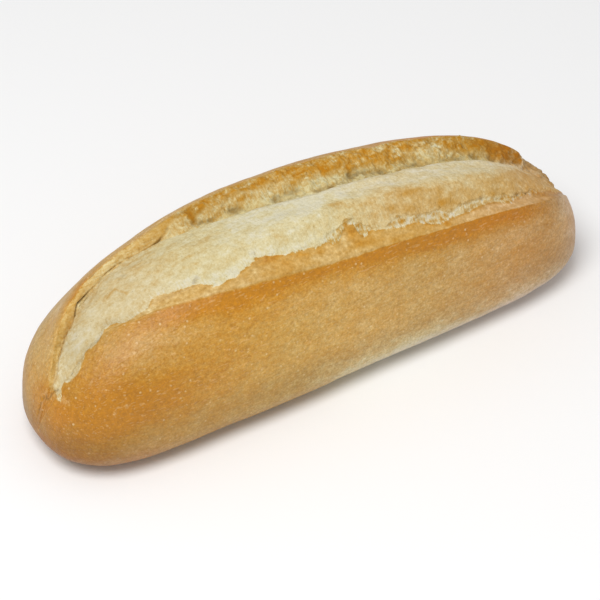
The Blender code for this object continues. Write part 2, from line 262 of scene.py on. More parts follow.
# pale blisters of the front crust, past the ridge; how much is the height
BLISTERS = (
    (0.206, 24.4, 0.9, 0.8, 0.12), (0.181, 23.1, 0.8, 0.6, 0.12),
    (0.272, 37.8, 0.8, 0.7, 0.10), (0.232, 20.3, 0.9, 0.4, 0.08),
    (0.284, 14.8, 1.0, 0.4, 0.08), (0.273, 16.3, 1.6, 0.4, 0.08),
    (0.250, 14.0, 3.2, 0.3, 0.06), (0.237, 10.8, 2.6, 0.3, 0.06),
    (0.160, 8.1, 0.6, 0.5, 0.08), (0.178, 13.6, 0.7, 0.4, 0.08))

# marks at the cut's left end, each a line of points: (millimetres along the loaf, millimetres
# past the rim). The crust split there, with pale dough showing beside the splits.
SPLITS = (((-99.4, 5.0), (-100.4, 2.7), (-101.0, 2.2)),
          ((-101.3, 2.0), (-101.9, 1.4), (-102.4, 0.3), (-103.0, -1.2)),
          ((-103.8, -1.4), (-104.4, -1.7)))
SCARS = (((-99.6, 6.6), (-100.4, 3.6), (-101.9, 1.6), (-103.0, -0.6), (-104.4, -1.2)),
         ((-100.2, 8.0), (-99.6, 11.1), (-98.9, 13.8)), ((-102.3, -2.2), (-101.5, 1.4)))
CREASES = (((-73.6, 15.5), (-71.9, 15.0), (-70.3, 15.2), (-69.6, 17.6), (-68.4, 20.9)),)

SPOT_REACH = 2.2  # a spot has faded away this many half lengths from its middle
SPOT_MARGIN = 1.0
FAR_AWAY = 6.0
CRUMB_START = -100.6  # millimetres along the loaf where the opened cut begins
CRUMB_END_SPREAD = 7.0  # near the right tip the crumb swells out over the rim by this much

# ---- the crumb's and crust's relief ----
# Sizes and heights are in millimetres. Where there are two heights, the first is on the dome
# and the second on the torn wall.
CRAG_SIZE = 6
CRAG_HEIGHTS = (0.4, 1.0)
CRUMB_LUMP_SIZE = 2.6
CRUMB_LUMP_HEIGHTS = (0.10, 0.60)
LUMPS_MEAN = 0.45
THREAD_WIDTH = 1.1
THREAD_LENGTH = 7.0
THREAD_HEIGHTS = (0.06, 0.51)
THREAD_LEAN = 0.8  # how far a thread leans along the loaf for each millimetre it rises
GRIT_SIZE = 1.3
GRIT_HEIGHTS = (0.08, 0.30)
CRUST_WAVES = ((9, 5, 0.16), (3, 6, 0.06))  # each (size, seed, height)
SKIN_STEP = 0.4  # how much one torn skin stands over the other
FLAP_STEP = 0.4
FLAP_SMOOTHNESS = 0.8  # how much of the crumb's relief the flap hides
WHITE_BAND_DEPTH = 0.45
CRACK_DEPTH = 1.1
CRACK_WIDTH = 0.38
CRACK_PLACE = 0.1
SPLIT_DEPTH = 0.5
SPLIT_WIDTH = 0.4
RELIEF_TIP = 0.07  # the relief fades out over this many stations at each tip


def hermite(start, end, slope_start, slope_end, t):
    eased = t * t * (3 - 2 * t)
    bends = slope_start * t * (1 - t) ** 2 - slope_end * t * t * (1 - t)
    return mix(start, end, eased) + bends


@cache
def form_at(form, station):
    """Where a form of the cut lies at a station: degrees round the loaf, and its height."""
    last = len(form) - 2
    i = min(max(bisect_right([point[0] for point in form], station) - 1, 0), last)
    gap = form[i + 1][0] - form[i][0]
    t = min(max((station - form[i][0]) / gap, 0.0), 1.0)
    found = []
    for value in (1, 2):
        slopes = []
        for k in (i, i + 1):
            before, after = form[max(k - 1, 0)], form[min(k + 1, last + 1)]
            slopes.append((after[value] - before[value]) / (after[0] - before[0]) * gap)
        found.append(hermite(form[i][value], form[i + 1][value], *slopes, t))
    return found[0], found[1] * MM


@cache
def line_at(line, station):
    """The value at a station of a line given as pairs, straight from pair to pair."""
    i = min(max(bisect_right([point[0] for point in line], station), 1), len(line) - 1)
    (start, low), (end, high) = line[i - 1], line[i]
    t = min(max((station - start) / (end - start), 0.0), 1.0)
    return mix(low, high, t)


def signed_power(value, power):
    return math.copysign(abs(value) ** power, value)


def draw_in(place, taper):
    return max(0.0, 1 - abs(place) ** taper) ** (1 / END_POWER)


def uncut_loaf(along, around):
    """A point of the loaf as if it had no cut. along runs from 0 to pi, tip to tip."""
    place = -math.cos(along)
    side = signed_power(math.cos(around), 2 / SECTION_POWER)
    lift = signed_power(math.sin(around), 2 / SECTION_POWER)
    if side > 0:
        reach = BACK_REACH * draw_in(place, BACK_TAPER)
    else:
        reach = FRONT_REACH * draw_in(place, FRONT_TAPER)
    if lift > 0:
        rise = (HEIGHT - WIDEST_HEIGHT) * draw_in(place, CROWN_TAPER)
    else:
        rise = UNDER_DEPTH * draw_in(place, FRONT_TAPER)
    return Vector((LENGTH / 2 * place, reach * side, WIDEST_HEIGHT + rise * lift))


def outward(along, around, step=0.004):
    along = min(max(along, 2 * step), math.pi - 2 * step)
    down_the_loaf = uncut_loaf(along + step, around) - uncut_loaf(along - step, around)
    round_the_loaf = uncut_loaf(along, around + step) - uncut_loaf(along, around - step)
    return round_the_loaf.cross(down_the_loaf).normalized()


def fade_at_tips(station, reach):
    return min(1.0, station / reach, (1 - station) / reach)


def jag(station, seed):
    place = station * LENGTH / JAG_SIZE
    return (noise.noise(Vector((place, seed, 0.0))) * JAG_DEGREES
            * fade_at_tips(station, SMOOTH_TIP))


@cache
def cut_section(station):
    """The cut's forms across one station, from the back to the front: (degrees, height)."""
    rim, rim_height = form_at(BACK_RIM, station)
    valley, valley_height = form_at(VALLEY, station)
    torn, torn_height = form_at(TORN_EDGE, station)
    ridge, ridge_height = form_at(LIP_RIDGE, station)
    return {
        "back": (rim - BACK_SPREAD, 0.0),
        "slack": (rim - SLACK_SPREAD, valley_height * SLACK_SHARE),
        "rim": (rim + jag(station, 1), rim_height),
        "valley": (valley, valley_height),
        "dome back": form_at(DOME_BACK, station),
        "dome crest": form_at(DOME_CREST, station),
        "torn edge": (torn + jag(station, 2), torn_height),
        "ridge": (ridge, ridge_height),
        "front": (ridge + LIP_SPREAD, 0.0),
    }


def cut_relief(station, degrees):
    """How far the crust or crumb stands out from the uncut loaf there."""
    section = cut_section(station)
    forms = list(section.values())
    if not forms[0][0] < degrees < forms[-1][0]:
        return 0.0
    i = bisect_right(forms, (degrees, math.inf)) - 1
    (start, low), (end, high) = forms[i], forms[i + 1]
    t = (degrees - start) / (end - start)
    beside_the_ridge = degrees >= section["torn edge"][0]
    blend = t if beside_the_ridge else t * t * (3 - 2 * t)
    return mix(low, high, blend)


@cache
def mesh_rows(station):
    """Where the mesh's rows run: degrees round the loaf for each row."""
    stops = [degrees for degrees, _ in cut_section(station).values()] + [SOLE_START, 360]
    rows, start = [], 0.0
    for count, stop in zip(FACES_ROUND.values(), stops, strict=True):
        rows += [start + (stop - start) * k / count for k in range(count)]
        start = stop
    return rows


def settle(height):
    """The sole lies flat: what would sink below it stops there, eased into the side."""
    if height <= -SOLE_EASE:
        return 0.0
    if height >= SOLE_EASE:
        return height
    return (height + SOLE_EASE) ** 2 / (4 * SOLE_EASE)


def smooth(low, high, value):
    """0 below low, 1 above high, eased between. low may be the greater one."""
    t = min(max((value - low) / (high - low), 0.0), 1.0)
    return t * t * (3 - 2 * t)


def bell(value, width):
    return math.exp(-(value / width) ** 2)


def mix(first, second, share):
    return first + (second - first) * share


def wave(point, size, seed=0):
    """Smooth noise from -1 to 1 with bumps of this size, in millimetres."""
    return noise.noise(point / (size * MM) + NOISE_ORIGIN * (seed + 1))


def waves(point, rows):
    """Smooth noises added up, each given as (size, seed, height)."""
    return sum(height * wave(point, size, seed) for size, seed, height in rows)


def lumps(point, size, seed):
    """Rounded lumps with creases between them, about 0."""
    return abs(wave(point, size, seed)) * 2 - LUMPS_MEAN


def thread(x, past_rim, seed):
    """Strands of crumb drawn out when the wall tore."""
    u = (x - THREAD_LEAN * past_rim) / THREAD_WIDTH
    return noise.noise(Vector((u, past_rim / THREAD_LENGTH, seed)))


def crumb_relief(point, x, here):
    """The torn crumb: craggy and stringy on the wall, finer on the dome."""
    on_wall = smooth(1.0, -1.5, here["valley"])
    rough = wave(point, CRAG_SIZE) * mix(*CRAG_HEIGHTS, on_wall)
    rough += lumps(point, CRUMB_LUMP_SIZE, 2) * mix(*CRUMB_LUMP_HEIGHTS, on_wall)
    rough += thread(x, here["rim"], 1) * mix(*THREAD_HEIGHTS, on_wall)
    rough += wave(point, GRIT_SIZE, 3) * mix(*GRIT_HEIGHTS, on_wall)
    return rough


@cache
def place_at(station):
    """Millimetres along the loaf from its middle to a station."""
    return -LENGTH / 2 * math.cos(station * math.pi) / MM


def spots_near(spots, x):
    return [spot for spot in spots
            if abs(place_at(spot[0]) - x) < SPOT_REACH * spot[2] + SPOT_MARGIN]


def way_from(x, past, station, middle, half_length, half_width):
    """How far a place is from a spot's middle: 1 is the spot's edge."""
    return math.hypot((x - place_at(station)) / half_length, (past - middle) / half_width)


def spots_at(spots, x, past):
    """The spots' amounts at a place, each falling away round its middle."""
    return sum(amount * bell(way_from(x, past, *spot), 1) for *spot, amount in spots)


def edge_of_spots(spots, x, past):
    """Millimetres to the edge of the nearest spot, less than 0 inside it."""
    edges = [(way_from(x, past, *spot) - 1) * min(spot[2:]) for *spot, _ in spots]
    return min([FAR_AWAY, *edges])


def lines_near(lines, x):
    return [line for line in lines
            if min(line)[0] - FAR_AWAY < x < max(line)[0] + FAR_AWAY]


def distance_to(lines, x, past):
    """Millimetres to the nearest of some lines of points."""
    nearest = FAR_AWAY
    for line in lines:
        for (x1, y1), (x2, y2) in zip(line, line[1:]):
            run, rise = x2 - x1, y2 - y1
            t = ((x - x1) * run + (past - y1) * rise) / (run * run + rise * rise)
            t = min(max(t, 0.0), 1.0)
            nearest = min(nearest, math.hypot(x - x1 - run * t, past - y1 - rise * t))
    return nearest


def loaf_vertices(bm):
    """The ball's vertices as rings from tip to tip, each in order round the loaf."""
    faces_round = sum(FACES_ROUND.values())
    rings = [[None] * faces_round for _ in range(RINGS + 1)]
    for vertex in bm.verts:
        ring = round(math.acos(min(max(-vertex.co.z, -1.0), 1.0)) / math.pi * RINGS)
        turn = math.atan2(vertex.co.y, vertex.co.x) / math.tau
        rings[ring][round(turn * faces_round) % faces_round] = vertex
    return rings


def ring_station(i):
    share = i / RINGS
    return share + RING_CROWD * math.sin(math.tau * share) / math.tau


def shape_ring(ring, station):
    """Moves one ring of the ball to its place on the loaf."""
    along = station * math.pi
    for vertex, degrees in zip(ring, mesh_rows(station), strict=True):
        if vertex:
            around = math.radians(degrees)
            point = uncut_loaf(along, around)
            lump = noise.noise(point / LUMP_SIZE + NOISE_ORIGIN) * LUMP_HEIGHT
            point += outward(along, around) * (cut_relief(station, degrees) + lump)
            vertex.co = point


def measure_ring(ring, station):
    """For each vertex of a ring its station, its height, and the way over the surface past
    each form and past each of the tear's own edges, in millimetres."""
    lengths, total = [], 0.0
    for before, vertex in zip([ring[-1], *ring], ring):
        total += (vertex.co - before.co).length / MM
        lengths.append(total)
    forms = ("back", "slack", "rim", "valley", "dome back", "dome crest", "torn edge",
             "ridge", "front")
    counts = list(FACES_ROUND.values())
    places = {form: lengths[sum(counts[:i + 1])] for i, form in enumerate(forms)}
    for edge, form, stray in (("torn", "torn edge", TORN_EDGE_STRAY),
                              ("skin", "torn edge", SKIN_EDGE),
                              ("browned", "rim", BROWNED_TO), ("lip", "ridge", RIDGE_STRAY)):
        places[edge] = places[form] + line_at(stray, station)
    under = len(ring) - FACES_ROUND["sole"] // 2
    measures = []
    for k, (vertex, length) in enumerate(zip(ring, lengths)):
        way = length - (total if k > under else 0)
        past = {name: way - place for name, place in places.items()}
        measures.append(past | {"station": station, "height": vertex.co.z / MM})
    return measures


# ---- how the oven coloured it, and the painted light and shade ----
# A touch is how much, and where: for each of a vertex's measures that it goes by, a fade or a
# nearness. Painted light is a brightness factor for how the lamp falls: painted shade at the
# tips, down by the sole and at the wall's foot, more light on the open wall. Yellowness is less
# than 1 where the brown is pinkish.


def fade(low, high):
    """None of it up to low, all of it past high, eased between. low may be the greater one."""
    return lambda value: smooth(low, high, value)


def near(middle, width):
    """All of it at the middle, and less over this width on both sides."""
    return lambda value: bell(value - middle, width)


def both(first, second):
    return lambda value: first(value) * second(value)


def touched(places, here):
    """How much of a touch reaches a vertex with these measures."""
    return math.prod([where(here[measure]) for measure, where in places.items()])


def sum_of(touches, here):
    return sum([amount * touched(places, here) for amount, places in touches])


def product_of(touches, here):
    return math.prod([1 + amount * touched(places, here) for amount, places in touches])


DARK_BAND_DEPTH = 2.7
DARK_BAND_FADE = 3.3


def under_the_ridge(below):
    """The dark band along the top of the front crust, fading out downwards."""
    return math.exp(-max(below - DARK_BAND_DEPTH, 0.0) / DARK_BAND_FADE)


DARK_BAND_ENDS = both(fade(0.25, 0.36), fade(0.84, 0.70))
CRUST_TONE = 0.56
CRUST_CLOUDS = ((24, 8, 0.05), (9, 9, 0.05))
FRONT_TONES = (
    (0.52, {"ridge": under_the_ridge, "station": DARK_BAND_ENDS}),
    (-0.13, {"ridge": under_the_ridge, "station": both(DARK_BAND_ENDS, near(0.48, 0.03))}),
    (-0.18, {"ridge": fade(26, 42), "station": fade(0.50, 0.60)}),
    (-0.48, {"ridge": fade(32, 48), "station": fade(0.40, 0.60)}),
    (-0.33, {"ridge": fade(20, 36), "station": fade(0.64, 0.78)}),
    (-0.14, {"ridge": fade(40, 46), "station": fade(0.44, 0.50)}),
    (-0.13, {"ridge": fade(24, 36), "station": fade(0.16, 0.10)}))
BACK_TONES = (
    (0.28, {"rim": near(0, 5), "station": fade(0.30, 0.85)}),
    (0.36, {"rim": near(0, 4), "station": near(0.23, 0.03)}),
    (0.30, {"rim": near(0, 8), "station": fade(0.12, 0.07)}),
    (-0.10, {"rim": fade(-6, -14), "station": near(0.18, 0.05)}),
    (0.10, {"rim": fade(-14, -24)}))


def crust_tone_at(here, point, x, spots):
    """How dark the crust is baked."""
    tone = CRUST_TONE + waves(point, CRUST_CLOUDS)
    if here["torn edge"] > 0:
        return tone + sum_of(FRONT_TONES, here) + spots_at(spots, x, here["ridge"])
    return tone + sum_of(BACK_TONES, here)


# the dome's upper tone passes into its lower one over these millimetres before the torn edge,
# and sooner at its browner middle
DOME_TURN = (-15, -8)
DOME_TURNS_SOONER = 4
DOME_BROWNER = near(0.60, 0.06)
DOME_TONES = (
    (-0.08, {"torn": fade(-17, -24), "station": fade(0.60, 0.70)}),
    (-0.09, {"torn": fade(-4.5, -2.5), "station": near(0.37, 0.09)}),
    (0.18, {"torn": fade(-5, -3), "station": near(0.17, 0.03)}),
    (-0.10, {"torn": fade(-2.5, -1), "station": near(0.70, 0.05)}))
WALL_TONES = ((-0.12, {"rim": fade(7, 12)}),)
WALL_BY_TONE = fade(0.5, -1.5)
CRUMB_CLOUDS = ((9, 11, 0.04), (3.5, 12, 0.04))


def crumb_tone_at(here, point):
    """How browned the torn crumb is, apart from the wall's browned band."""
    station = here["station"]
    turned = here["torn"] + DOME_TURNS_SOONER * DOME_BROWNER(station)
    dome = mix(line_at(UPPER_DOME_TONE, station), line_at(LOWER_DOME_TONE, station),
               smooth(*DOME_TURN, turned)) + sum_of(DOME_TONES, here)
    wall = line_at(PALE_WALL_TONE, station) + sum_of(WALL_TONES, here)
    return mix(dome, wall, WALL_BY_TONE(here["valley"])) + waves(point, CRUMB_CLOUDS)


# the browned band is a little paler right along the rim, in its right half
RIM_PALER = fade(0.38, 0.42)
RIM_TONES = (
    (-0.15, {"rim": near(0, 1.6), "station": RIM_PALER}),
    (0.15, {"rim": near(0, 1.6), "station": both(RIM_PALER, near(0.575, 0.03))}))


def browned_tone_at(here):
    return line_at(BROWNED_TONE, here["station"]) + sum_of(RIM_TONES, here)


# painted light and shade on the crust, as brightness factors: painted shade down by the sole
# and at the tips, painted light on parts of the front
LOW_DOWN = fade(27, 13)
BACK_PAINTED_LIGHT = 0.90
BACK_PAINTED_LIGHTS = (
    (-0.09, {"rim": fade(-10, -18), "station": fade(0.30, 0.20)}),
    (0.12, {"rim": near(0, 1.5), "station": fade(0.08, 0.16)}))
BACK_PAINTED_SHADE = (
    (0.10, {"height": LOW_DOWN}),
    (0.20, {"height": LOW_DOWN, "station": fade(0.14, 0.06)}))
LIP_PAINTED_LIGHTS = (
    (-0.04, {"station": fade(0.50, 0.78)}),
    (-0.20, {"station": fade(0.79, 0.85)}),
    (0.10, {"station": near(0.17, 0.04)}),
    (-0.06, {"station": near(0.40, 0.05)}))
FRONT_PAINTED_LIGHTS = (
    (0.11, {"ridge": fade(1, 8), "height": fade(13, 27), "station": near(0.42, 0.13)}),
    (-0.10, {"ridge": fade(6, 14), "station": fade(0.13, 0.09)}),
    (0.08, {"ridge": fade(36, 46)}),
    (-0.12, {"ridge": fade(7, 2), "station": near(0.83, 0.035)}),
    (0.09, {"ridge": fade(20, 32), "station": fade(0.42, 0.55)}))
FRONT_PAINTED_SHADE = (
    (0.18, {"height": LOW_DOWN}),
    (0.12, {"height": LOW_DOWN, "station": fade(0.26, 0.14)}))


def crust_painted_light_at(here):
    """Painted light for the crust's tone, with painted shade at the tips and by the sole."""
    if here["torn edge"] < 0:
        return (BACK_PAINTED_LIGHT + sum_of(BACK_PAINTED_LIGHTS, here)) * (1 - sum_of(BACK_PAINTED_SHADE, here))
    if here["ridge"] < 0:
        return 1 + sum_of(LIP_PAINTED_LIGHTS, here)
    glow = line_at(CRUST_PAINTED_LIGHT, here["station"]) * product_of(FRONT_PAINTED_LIGHTS, here)
    return glow * (1 - sum_of(FRONT_PAINTED_SHADE, here))


WALL_FOOT_PAINTED_SHADE = 0.88
WALL_FOOT = fade(6, 10)
WALL_EDGE_PAINTED_LIGHTS = ((-0.08, {"rim": fade(1.2, 0)}),)
WALL_BY_GLOW = fade(0.5, -1.0)


def crumb_painted_light_at(here):
    """Painted light for the crumb's tone: most on the open wall, and painted shade at its foot.
    """
    wall = mix(line_at(WALL_PAINTED_LIGHT, here["station"]), WALL_FOOT_PAINTED_SHADE, WALL_FOOT(here["rim"]))
    wall *= product_of(WALL_EDGE_PAINTED_LIGHTS, here)
    return mix(line_at(DOME_PAINTED_LIGHT, here["station"]), wall, WALL_BY_GLOW(here["valley"]))


CRUST_YELLOWNESS = 0.98
CRUST_YELLOWS = (
    (-0.09, {"station": fade(0.56, 0.74)}),
    (-0.02, {"station": fade(0.13, 0.08)}),
    (-0.13, {"height": fade(17, 8), "station": fade(0.30, 0.20)}),
    (0.03, {"ridge": fade(10, 16), "station": near(0.42, 0.08)}),
    (-0.03, {"rim": fade(-14, -24)}),
    (-0.04, {"ridge": near(10, 7), "station": near(0.26, 0.07)}))
DOME_YELLOWNESS = 0.97
DOME_YELLOWS = (
    (0.03, {"station": fade(0.28, 0.36)}),
    (-0.03, {"station": fade(0.50, 0.58)}),
    (-0.05, {"station": fade(0.70, 0.80)}))
WALL_YELLOWS = ((-0.10, {"station": fade(0.76, 0.82)}), (0.02, {"rim": fade(6, 10)}))


def crumb_yellowness_at(here):
    dome = DOME_YELLOWNESS + sum_of(DOME_YELLOWS, here)
    return mix(dome, 1 + sum_of(WALL_YELLOWS, here), WALL_BY_GLOW(here["valley"]))


# how grey-brown the crust is, at the right tip and by the sole: partly a duller bake, partly
# painted shade and a painted grey sheen
DULL_AND_SHADED_PLACES = ((0.25, {"height": fade(15, 4)}), (0.60, {"station": fade(0.80, 0.93)}))

# ---- the marks that the paint reads ----
# In millimetres: how far inside the cut, past the torn edge, the lip's edge, the white band's
# edge and the browned band's edge, and from cavities, blisters, splits, scars and creases, and
# the relief's height. The rest are tones, shares and factors. Of these, the painted light and
# shade is a brightness factor and a share of painted shade at the wall's foot, and the
# grey-brown crust at the right tip and by the sole is partly painted shade and sheen.
MARKS = ("inside", "past_torn", "past_ridge", "ridge_crispness", "past_skin", "past_browned",
         "flap", "crack", "cavity", "blister", "foot", "relief", "split", "scar", "crease",
         "crust_tone", "crumb_tone", "browned_tone", "lip_tone", "glow", "yellow", "dull")

FLAP_ALONG = fade(FLAP_END, FLAP_END - 0.02)
CRUMB_SWELLS = fade(0.84, 0.865)
STEP_TURNS = fade(0.25, 0.33)  # left of it the dome's edge lies under the lip, then over it
STEP_RISES = fade(-5, -0.5)
BAND_DEEPENS = fade(-0.3, 0.5)
FLAP_EDGE = fade(0.4, -0.4)
CUT_EDGE = fade(0.0, 1.2)
LIP_ENDS = fade(0.845, 0.875)
RIDGE_CRISPNESS = (1.2, 3.8)
RIDGE_CRISPENS = fade(0.42, 0.58)
# painted shade along the wall's foot, in the fold behind the dome
PAINTED_SHADE_AT_FOOT = {"valley": near(-0.6, 1.2), "station": both(fade(0.40, 0.52), fade(0.84, 0.79))}


def open_crumb(point, x, here, crack, flap):
    """The relief inside the cut: the crumb's, the skin's step, and the flap with its crack."""
    crumb = crumb_relief(point, x, here)
    crumb += SKIN_STEP * mix(-1, 1, STEP_TURNS(here["station"])) * STEP_RISES(here["torn"])
    crumb -= WHITE_BAND_DEPTH * BAND_DEEPENS(here["skin"])
    on_flap = flap * FLAP_EDGE(here["browned"])
    crumb += (FLAP_STEP * crack - FLAP_SMOOTHNESS * crumb) * on_flap
    return crumb - CRACK_DEPTH * crack * bell(here["browned"] - CRACK_PLACE, CRACK_WIDTH)


def mark_ring(ring, station, marks):
    """Marks each vertex of a ring for the paint, and says how far each is to move outwards."""
    ring_x = place_at(station)
    baked, browned, on_dome, cavities, blisters = (
        spots_near(spots, ring_x)
        for spots in (BAKED_SPOTS, CRUMB_SPOTS, DOME_SPOTS, CAVITIES, BLISTERS))
    splits, scars, creases = (lines_near(lines, ring_x) for lines in (SPLITS, SCARS, CREASES))
    crack, flap = line_at(FLAP_CRACK, station), FLAP_ALONG(station)
    swell = CRUMB_END_SPREAD * CRUMB_SWELLS(station)
    crispness = mix(*RIDGE_CRISPNESS, RIDGE_CRISPENS(station))
    moves = []
    for vertex, here in zip(ring, measure_ring(ring, station), strict=True):
        point, x = vertex.co, vertex.co.x / MM
        inside = min(here["rim"] + swell, -here["torn"], x - CRUMB_START)
        split = distance_to(splits, x, here["rim"])
        relief = waves(point, CRUST_WAVES)
        depth = -spots_at(blisters, x, here["ridge"])
        if inside > 0:
            crumb = open_crumb(point, x, here, crack, flap)
            relief = mix(relief, crumb, CUT_EDGE(inside))
            depth = spots_at(cavities, x, here["rim"])
            glow, yellow = crumb_painted_light_at(here), crumb_yellowness_at(here)
        else:
            glow = crust_painted_light_at(here)
            yellow = CRUST_YELLOWNESS + sum_of(CRUST_YELLOWS, here)
        relief = relief * fade_at_tips(station, RELIEF_TIP) - depth
        relief -= SPLIT_DEPTH * bell(split, SPLIT_WIDTH)
        dome_spotted = spots_at(on_dome, x, here["torn edge"])
        spotted = spots_at(browned, x, here["rim"]) + dome_spotted
        values = {
            "inside": inside, "past_torn": here["torn"],
            "past_ridge": here["lip"] + FAR_AWAY * LIP_ENDS(station),
            "ridge_crispness": crispness,
            "past_skin": here["skin"], "past_browned": here["browned"],
            "flap": flap, "crack": crack, "foot": touched(PAINTED_SHADE_AT_FOOT, here),
            "cavity": edge_of_spots(cavities, x, here["rim"]),
            "blister": edge_of_spots(blisters, x, here["ridge"]),
            "relief": relief, "split": split,
            "scar": distance_to(scars, x, here["rim"]),
            "crease": distance_to(creases, x, here["rim"]),
            "crust_tone": crust_tone_at(here, point, x, baked),
            "crumb_tone": crumb_tone_at(here, point) + spotted,
            "browned_tone": browned_tone_at(here) + spotted,
            "lip_tone": line_at(LIP_TONE, station) + dome_spotted,
            "glow": glow, "yellow": yellow, "dull": sum_of(DULL_AND_SHADED_PLACES, here)}
        for name, value in values.items():
            vertex[marks[name]] = value
        moves.append((vertex, vertex.normal * relief * MM))
    return moves


# the tip's crust tone, its painted shade as a brightness factor, and its yellowness
TIP_LOOK = {"crust_tone": 0.6, "glow": 0.85, "yellow": 0.93}


def mark_tip(tip, station, marks):
    """The loaf's very tip is all crust."""
    values = dict.fromkeys(("past_torn", "past_ridge", "past_skin", "past_browned", "split",
                            "scar", "crease", "cavity", "blister"), FAR_AWAY)
    here = {"station": station, "height": WIDEST_HEIGHT / MM}
    values |= {"inside": -FAR_AWAY, "dull": sum_of(DULL_AND_SHADED_PLACES, here)} | TIP_LOOK
    for name, value in values.items():
        tip[marks[name]] = value


def shape_loaf(mesh_name):
    bm = bmesh.new()
    marks = {name: bm.verts.layers.float.new(name) for name in MARKS}
    faces_round = sum(FACES_ROUND.values())
    bmesh.ops.create_uvsphere(bm, u_segments=faces_round, v_segments=RINGS, radius=1)
    rings = loaf_vertices(bm)
    for i, ring in enumerate(rings):
        shape_ring(ring, ring_station(i))
    bm.normal_update()
    moves = []
    for i, ring in enumerate(rings):
        if None in ring:
            mark_tip(next(vertex for vertex in ring if vertex), ring_station(i), marks)
        else:
            moves += mark_ring(ring, ring_station(i), marks)
    for vertex, move in moves:
        vertex.co += move
    for vertex in bm.verts:
        vertex.co.z = settle(vertex.co.z)
    lows = [min(vertex.co[axis] for vertex in bm.verts) for axis in range(3)]
    highs = [max(vertex.co[axis] for vertex in bm.verts) for axis in range(3)]
    middle = Vector(((lows[0] + highs[0]) / 2, (lows[1] + highs[1]) / 2, lows[2]))
    bmesh.ops.translate(bm, verts=bm.verts, vec=-middle)
    mesh = bpy.data.meshes.new(mesh_name)
    bm.to_mesh(mesh)
    bm.free()
    mesh.shade_smooth()
    return mesh


class Paint:
    """A value or colour in a material's nodes; sums and products with it add Math nodes."""

    def __init__(self, tree, socket=None):
        self.tree = tree
        self.socket = socket

    def node(self, kind, settings=None, sockets=None, output=0):
        """Adds a node: first its settings, then its sockets, each a number or a value."""
        made = self.tree.nodes.new(kind)
        for name, value in (settings or {}).items():
            if name == "stops":
                set_stops(made.color_ramp, value)
            else:
                setattr(made, name, value)
        for name, value in (sockets or {}).items():
            if isinstance(value, Paint):
                self.tree.links.new(value.socket, made.inputs[name])
            else:
                made.inputs[name].default_value = value
        return Paint(self.tree, made.outputs[output])

    def math(self, operation, first, second):
        return self.node("ShaderNodeMath", {"operation": operation}, {0: first, 1: second})

    def __add__(self, other):
        return self.math("ADD", self, other)

    def __radd__(self, other):
        return self.math("ADD", other, self)

    def __sub__(self, other):
        return self.math("SUBTRACT", self, other)

    def __rsub__(self, other):
        return self.math("SUBTRACT", other, self)

    def __mul__(self, other):
        return self.math("MULTIPLY", self, other)

    def __abs__(self):
        return self.math("ABSOLUTE", self, 0.0)

    def step(self, low, high):
        """0 below low, 1 above high, eased between."""
        settings = {"interpolation_type": "SMOOTHSTEP"}
        return self.node("ShaderNodeMapRange", settings, {0: self, 1: low, 2: high})

    def toward(self, other, share):
        """This value, moved by a share towards another."""
        return self + (other - self) * share

    def mark(self, name):
        """One of the values kept at the mesh's vertices."""
        return self.node("ShaderNodeAttribute", {"attribute_name": name}, output="Fac")

    def speckle(self, length, width, detail=2.0, roughness=0.5):
        """Noise from -0.5 to 0.5, its grains this long along the loaf and this wide, in mm."""
        stretched = {"Vector": self, "Scale": (length * MM, width * MM, width * MM)}
        grains = self.node("ShaderNodeMapping", {"vector_type": "TEXTURE"}, stretched)
        sockets = {"Vector": grains, "Scale": 1.0, "Detail": detail, "Roughness": roughness}
        return self.node("ShaderNodeTexNoise", None, sockets) - 0.5

    def dots(self, size, radius, share):
        """Round dots of this radius, in a share of the cells of this size, all in mm."""
        sockets = {"Vector": self, "Scale": 1 / (size * MM)}
        cell = self.node("ShaderNodeTexVoronoi", None, sockets)
        draw = self.node("ShaderNodeTexVoronoi", None, sockets, "Color")
        draw = self.node("ShaderNodeSeparateColor", None, {"Color": draw})
        inside_dot = cell.step(radius / size, 0.4 * radius / size)
        return inside_dot * draw.step(1 - share, 1.02 - share)

    def blend(self, share, first, second):
        """A colour between two others."""
        settings = {"data_type": "RGBA"}
        return self.node("ShaderNodeMix", settings, {0: share, 6: first, 7: second}, 2)


def set_stops(ramp, stops):
    """Gives a colour ramp its stops, each a place from 0 to 1 and a colour."""
    while len(ramp.elements) < len(stops):
        ramp.elements.new(1.0)
    for element, (place, colour) in zip(ramp.elements, stops, strict=True):
        element.position = place
        element.color = colour


def screen_colour(red, green, blue):
    """A colour given as it looks on a screen, from 0 to 255, as the shader wants it."""
    shares = [value / 255 for value in (red, green, blue)]
    return (*[s / 12.92 if s <= 0.04045 else ((s + 0.055) / 1.055) ** 2.4
              for s in shares], 1.0)


# The colours of baking, from crumb that only dried to the brownest crust
BAKING = [(tone, screen_colour(*colour)) for tone, colour in (
    (0.00, (230, 222, 191)), (0.12, (227, 214, 168)), (0.25, (220, 200, 145)),
    (0.40, (210, 176, 108)), (0.55, (201, 158, 78)), (0.70, (199, 146, 50)),
    (0.85, (194, 133, 18)), (1.00, (194, 128, 0)))]
WHITE_BAND_TONE = 0.26
# a greyer, darker crust brown: partly a duller bake, partly painted shade and grey sheen
DULL_SHADED_CRUST = screen_colour(178, 132, 92)
# the colour of painted shade in the crumb's hollows and the crust's cracks
PAINTED_SHADE_COLOUR = screen_colour(126, 94, 30)
PALE_DOUGH = screen_colour(236, 206, 146)


